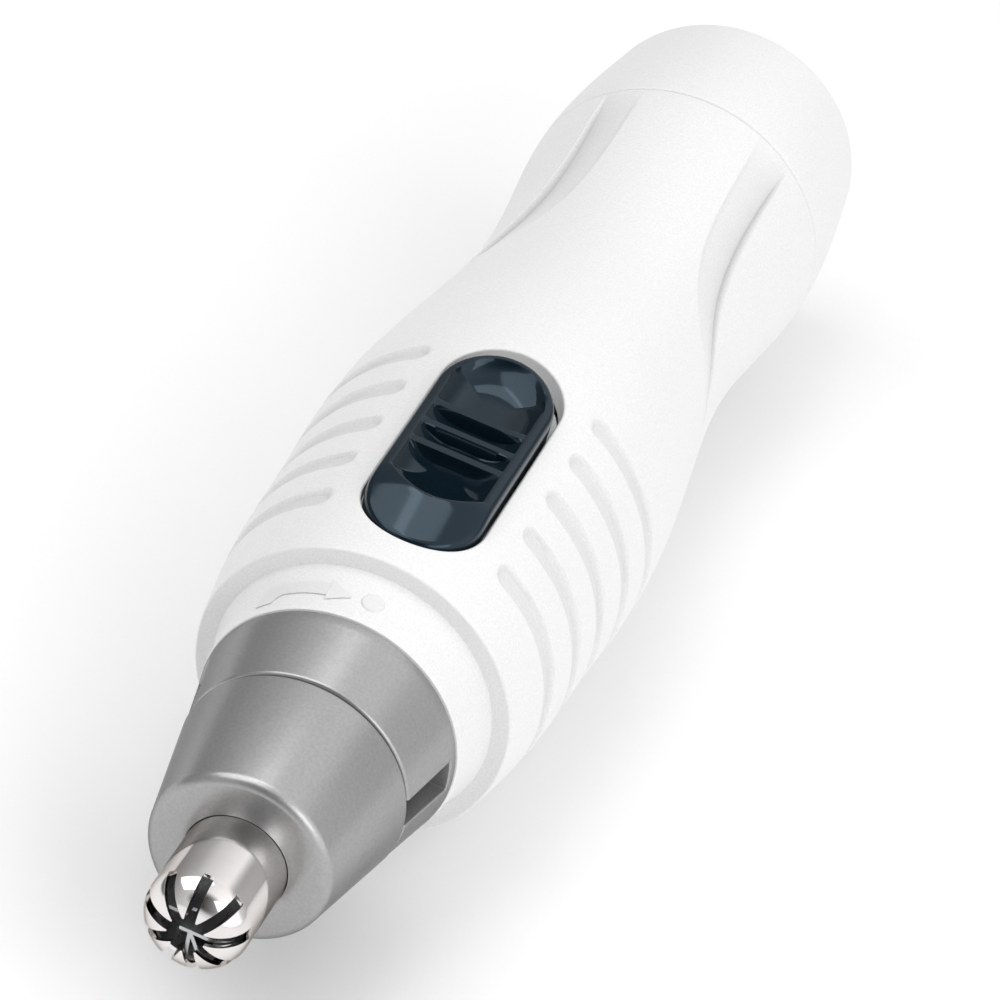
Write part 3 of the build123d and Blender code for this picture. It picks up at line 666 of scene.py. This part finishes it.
def build_base():
    """Rear half of the head, with a rinse slot on each side."""
    outline = [(8.3, RINSE_END), (8.3, HEAD_SEAM + SEAM_HALF)]
    outline += arc((HEAD_SEAM_R + 0.03 - SEAM_LIP, HEAD_SEAM + SEAM_HALF + SEAM_LIP), SEAM_LIP, -90, -8, 9)
    slope = (HEAD_BASE_R - HEAD_SEAM_R) / (COLLAR_FRONT - HEAD_SEAM)
    outline += [(HEAD_SEAM_R + slope * (RINSE_END - HEAD_SEAM), RINSE_END)]
    front = list(range(len(outline)))
    outline += [(HEAD_BASE_R - 0.05, COLLAR_FRONT - 0.4), (HEAD_BASE_R - 0.07, COLLAR_FRONT - 0.2),
                (HEAD_BASE_R - 0.2, COLLAR_FRONT - 0.1), (9.4, COLLAR_FRONT - 0.1), (9.4, 34.2), (7.4, 34.2),
                (7.4, 30.4), (2.95, 30.4), (2.95, RINSE_END)]
    half = RINSE_WIDTH / 2
    cuts = [(RINSE_ANGLE - half, RINSE_ANGLE + half),
            (360 - RINSE_ANGLE - half, 360 - RINSE_ANGLE + half)]
    points, faces = lathe(outline, 240, cuts, front)
    piece = add_piece("rinse_ring", points, faces, "head", SATIN, ["head_base"])
    soften(piece, 0.12, 50)
    return piece


def soften(piece, width, angle):
    """Rounds the sharp edges of a piece."""
    bevel = piece.modifiers.new("soft_edges", "BEVEL")
    bevel.width = width * MM
    bevel.segments = 2
    bevel.limit_method = "ANGLE"
    bevel.angle_limit = math.radians(angle)
    bevel.harden_normals = True


def build_cutter():
    """Domed steel tube: nine fingers between the slits, then a plain tube."""
    pitch = 2 * math.pi / SLITS
    across, between = 14, 6
    stride = across + between - 2
    corner = TUBE_R - DOME_ROUND                  # radius where the flat front ends
    reach = TIP + DOME_ROUND                      # station where the tube starts
    last = math.degrees(math.acos((reach - SLIT_END) / DOME_ROUND))
    turns = np.radians(np.linspace(0, last, 24))
    points, faces = [], []

    def add(row):
        first = sum(len(p) for p in points)
        points.append(row)
        return np.arange(first, first + len(row))

    def dome(turn, depth):
        """Radius and station on the dome, depth under its outside."""
        return (corner + (DOME_ROUND - depth) * math.sin(turn), reach - (DOME_ROUND - depth) * math.cos(turn))

    def ring(station, radius):
        """A whole ring whose points line up with the fingers and the slits."""
        half = pitch / 2 - math.asin(SLIT_WIDTH / 2 / radius)
        angles = []
        for k in range(SLITS):
            middle = pitch * (k + 0.5)
            angles += list(middle + np.linspace(-half, half, across))
            angles += list(middle + np.linspace(half, pitch - half, between)[1:-1])
        return on_axis(station, radius, np.array(angles))

    layers = []
    for depth in (0, SHEET):
        finger_rows = [[] for _ in range(SLITS)]
        for radius, station in [(TIP_HOLE_R, TIP + depth)] + [dome(turn, depth) for turn in turns]:
            half = pitch / 2 - math.asin(SLIT_WIDTH / 2 / radius)
            for k in range(SLITS):
                angles = pitch * (k + 0.5) + np.linspace(-half, half, across)
                finger_rows[k].append(add(on_axis(station, radius, angles)))
        rings = [dome(turn, depth)[::-1] for turn in np.radians([(last + 90) / 2, 90])]
        rings += [(s, TUBE_R - depth) for s in (6.0, 8.5, FACE, 13.0)]
        tube = [add(ring(s, r)) for s, r in rings]
        layers.append((finger_rows, tube))
        for k in range(SLITS):
            rows = finger_rows[k] + [tube[0][k * stride:k * stride + across]]
            for a, b in zip(rows, rows[1:]):
                faces += strip(a, b, closed=False)
        for a, b in zip(tube, tube[1:]):
            faces += strip(a, b)
    (outer_fingers, outer_tube), (inner_fingers, inner_tube) = layers
    for k in range(SLITS):
        out_rows = outer_fingers[k] + [outer_tube[0][k * stride:k * stride + across]]
        in_rows = inner_fingers[k] + [inner_tube[0][k * stride:k * stride + across]]
        faces += strip(out_rows[0], in_rows[0], closed=False)
        for side in (0, -1):
            faces += strip([row[side] for row in out_rows], [row[side] for row in in_rows], closed=False)
        gap = [(k * stride + across - 1 + i) % len(outer_tube[0]) for i in range(between)]
        faces += strip([outer_tube[0][i] for i in gap], [inner_tube[0][i] for i in gap], closed=False)
    faces += strip(outer_tube[-1], inner_tube[-1])
    piece = add_piece("slotted_dome", np.concatenate(points), faces, "head", CHROME,
                      ["outer_cutter"], sharp=50)
    soften(piece, 0.06, 50)
    return piece


# ---- Thumb switch ----


DISH_X = 3.95                    # half width of the knob's dish


def knob_top(x, station):
    """Height of the knob's top: crowned rim, ramped nose, scooped dish and three straight ribs."""
    crown_r = grip_radius(np.clip(station, 36, 70)) + KNOB_RISE
    crown = np.sqrt(crown_r ** 2 - x ** 2)
    nose = 13.35 + (station - KNOB_FRONT) * 0.385 - x ** 2 / 28
    blend = 0.35
    gap = np.clip((crown - nose) / blend, -1, 1)
    blended = (crown + nose) / 2 - blend * (1 + gap ** 2) / 4
    rim = np.where(gap >= 1, nose, np.where(gap <= -1, crown, blended))
    front = 42.4 + 0.13 * x ** 2                   # the dish's curved front edge
    back = 57.3 + np.sqrt(np.maximum(0, DISH_X ** 2 - x ** 2))
    side = DISH_X - np.abs(x)
    inside = np.minimum(np.minimum((station - front) * 0.62, (back - station) * 0.8), side)
    bowl = 1.75 * (1 - np.clip(1 - inside / 3.0, 0, 1) ** 2) ** 0.9
    lift = np.zeros_like(x)
    for rib in RIBS:
        lift = np.maximum(lift, 1 - ease((np.abs(station - rib) - 0.36) / 0.16))
    floor = rim - np.clip(bowl, 0, None)
    bar = np.sqrt(crown_r ** 2 - DISH_X ** 2) - 0.12
    return np.where(inside > 0, floor + np.clip(bar - floor, 0, None) * lift, rim)


def build_knob():
    middle = (KNOB_FRONT + KNOB_BACK) / 2
    reach = (KNOB_BACK - KNOB_FRONT) / 2 - KNOB_SIDE
    straight = np.linspace(-reach, reach, 141)
    turn = np.radians(np.linspace(0, 180, 61)[1:-1])
    ends = np.full(len(turn), reach)
    centres = np.concatenate([straight, ends, straight[::-1], -ends])
    sides = np.zeros(len(straight))
    headings = np.concatenate([sides, turn, sides + math.pi, turn + math.pi])
    insets = np.concatenate([np.linspace(0, 0.4, 6), np.linspace(0.5, 1.0, 4), np.linspace(1.06, 1.9, 12),
                             np.linspace(2.05, KNOB_SIDE, 20)])
    points, faces, loop = [], [], None
    for inset in insets:
        reach_out = KNOB_SIDE - inset
        x = reach_out * np.cos(headings)
        station = middle + centres + reach_out * np.sin(headings)
        edge = max(0.0, 0.4 - inset)
        height = knob_top(x, station) - (0.4 - math.sqrt(0.4 ** 2 - edge ** 2))
        ring = np.arange(len(x)) + len(x) * len(points)
        points.append(np.stack([x, station, height], -1))
        if loop is not None:
            faces += strip(loop, ring)
        loop = ring
    count = len(points[0])
    low = points[0].copy()
    low[:, 2] = WELL_FLOOR + 0.1
    faces += strip(np.arange(count), np.arange(count) + count * len(points))
    faces.append(list(np.arange(count) + count * len(points)))
    points.append(low)
    return add_piece("thumb_slide", np.concatenate(points), faces, "switch", SLATE,
                     ["switch_knob"], sharp=38)


# ---- Stage, light and camera ----

CAMERA_PLACE = (70.9, -314.2, 283.1)      # millimetres from the tip, on the trimmer's axis
VIEW_AZIMUTH, VIEW_ELEVATION, VIEW_ROLL = 10.40, 36.26, 16.84
LENS = 211.44


def view_axes():
    """The camera's right, up and back directions."""
    a, e, roll = (math.radians(v) for v in (VIEW_AZIMUTH, VIEW_ELEVATION, VIEW_ROLL))
    back = Vector((math.sin(a) * math.cos(e), -math.cos(a) * math.cos(e), math.sin(e)))
    level = Vector((math.cos(a), math.sin(a), 0))
    up = back.cross(level)
    right = math.cos(roll) * level + math.sin(roll) * up
    return right, math.cos(roll) * up - math.sin(roll) * level, back


def build_camera():
    data = bpy.data.cameras.new("camera")
    data.lens, data.sensor_width, data.clip_start = LENS, 36, 0.01
    camera = bpy.data.objects.new("camera", data)
    bpy.context.scene.collection.objects.link(camera)
    turn = Matrix(view_axes()).transposed().to_4x4()
    place = Vector(CAMERA_PLACE) * MM + Vector((0, TIP_Y, AXIS_Z))
    camera.matrix_world = Matrix.Translation(place) @ turn
    bpy.context.scene.camera = camera


def add_light(name, direction, distance, size, power):
    """A square soft box that faces the trimmer."""
    data = bpy.data.lights.new(name, "AREA")
    data.shape, data.size, data.energy = "SQUARE", size, power
    light = bpy.data.objects.new(name, data)
    bpy.context.scene.collection.objects.link(light)
    out = Vector(direction).normalized()
    target = Vector((0, 0, AXIS_Z))
    light.location = target + out * distance
    light.rotation_euler = out.to_track_quat("Z", "Y").to_euler()


def build_world(level, lean, patches):
    """Soft light from all round, stronger towards the lean direction. Each patch brightens or
    darkens a round area of it: direction, cosines where it starts and is full, and strength."""
    world = bpy.data.worlds.new("studio")
    world.use_nodes = True
    tree = world.node_tree
    place = tree.nodes.new("ShaderNodeTexCoord")

    def towards(direction):
        dot = tree.nodes.new("ShaderNodeVectorMath")
        dot.operation = "DOT_PRODUCT"
        dot.inputs[1].default_value = direction
        tree.links.new(place.outputs["Generated"], dot.inputs[0])
        return dot.outputs["Value"]

    def combine(operation, first, second):
        node = tree.nodes.new("ShaderNodeMath")
        node.operation = operation
        tree.links.new(first, node.inputs[0])
        if isinstance(second, float):
            node.inputs[1].default_value = second
        else:
            tree.links.new(second, node.inputs[1])
        return node.outputs["Value"]

    total = combine("ADD", towards(lean), level)
    for direction, start, full, strength in patches:
        fade = tree.nodes.new("ShaderNodeMapRange")
        fade.interpolation_type = "SMOOTHSTEP"
        fade.inputs["From Min"].default_value = start
        fade.inputs["From Max"].default_value = full
        fade.inputs["To Max"].default_value = strength
        tree.links.new(towards(Vector(direction).normalized()), fade.inputs["Value"])
        total = combine("ADD", total, fade.outputs["Result"])
    tree.links.new(combine("MAXIMUM", total, 0.04), tree.nodes["Background"].inputs["Strength"])
    tree.nodes["Background"].inputs["Color"].default_value = (1, 1, 1, 1)
    bpy.context.scene.world = world


def build_stage():
    mesh = bpy.data.meshes.new("floor")
    half = 3.0
    corners = [(-half, -half, 0), (half, -half, 0), (half, half, 0), (-half, half, 0)]
    mesh.from_pydata(corners, [], [(0, 1, 2, 3)])
    floor = bpy.data.objects.new("floor", mesh)
    bpy.context.scene.collection.objects.link(floor)
    material, _, _ = new_material("studio_floor", (0.92, 0.92, 0.92), 0.7)
    mesh.materials.append(material)
    build_world(0.835, (0.62, -0.12, 0.12), [((0.0, 0.80, 0.60), 0.86, 0.97, 0.12),
                                            ((0.75, 0.62, 0.20), 0.80, 0.95, -0.65),
                                            ((0.15, -0.79, 0.59), 0.78, 0.96, -0.95)])
    bpy.context.scene.view_settings.view_transform = "Standard"
    add_light("key", (-0.47, -0.16, 0.87), 0.5, 0.4, 0.95)
    add_light("top_box", (-0.12, 0.19, 0.97), 0.6, 0.2, 0.28)
    add_light("front_box", (0.60, -0.55, 0.58), 0.6, 0.3, 0.62)


paint_cad_nodes()
build_grip()
build_cap()
build_pad("body_pad", BODY_PAD, "body")
build_pad("cap_pad", CAP_PAD, "battery_cap")
build_marks()
build_nose()
build_base()
build_cutter()
build_knob()
build_stage()
build_camera()
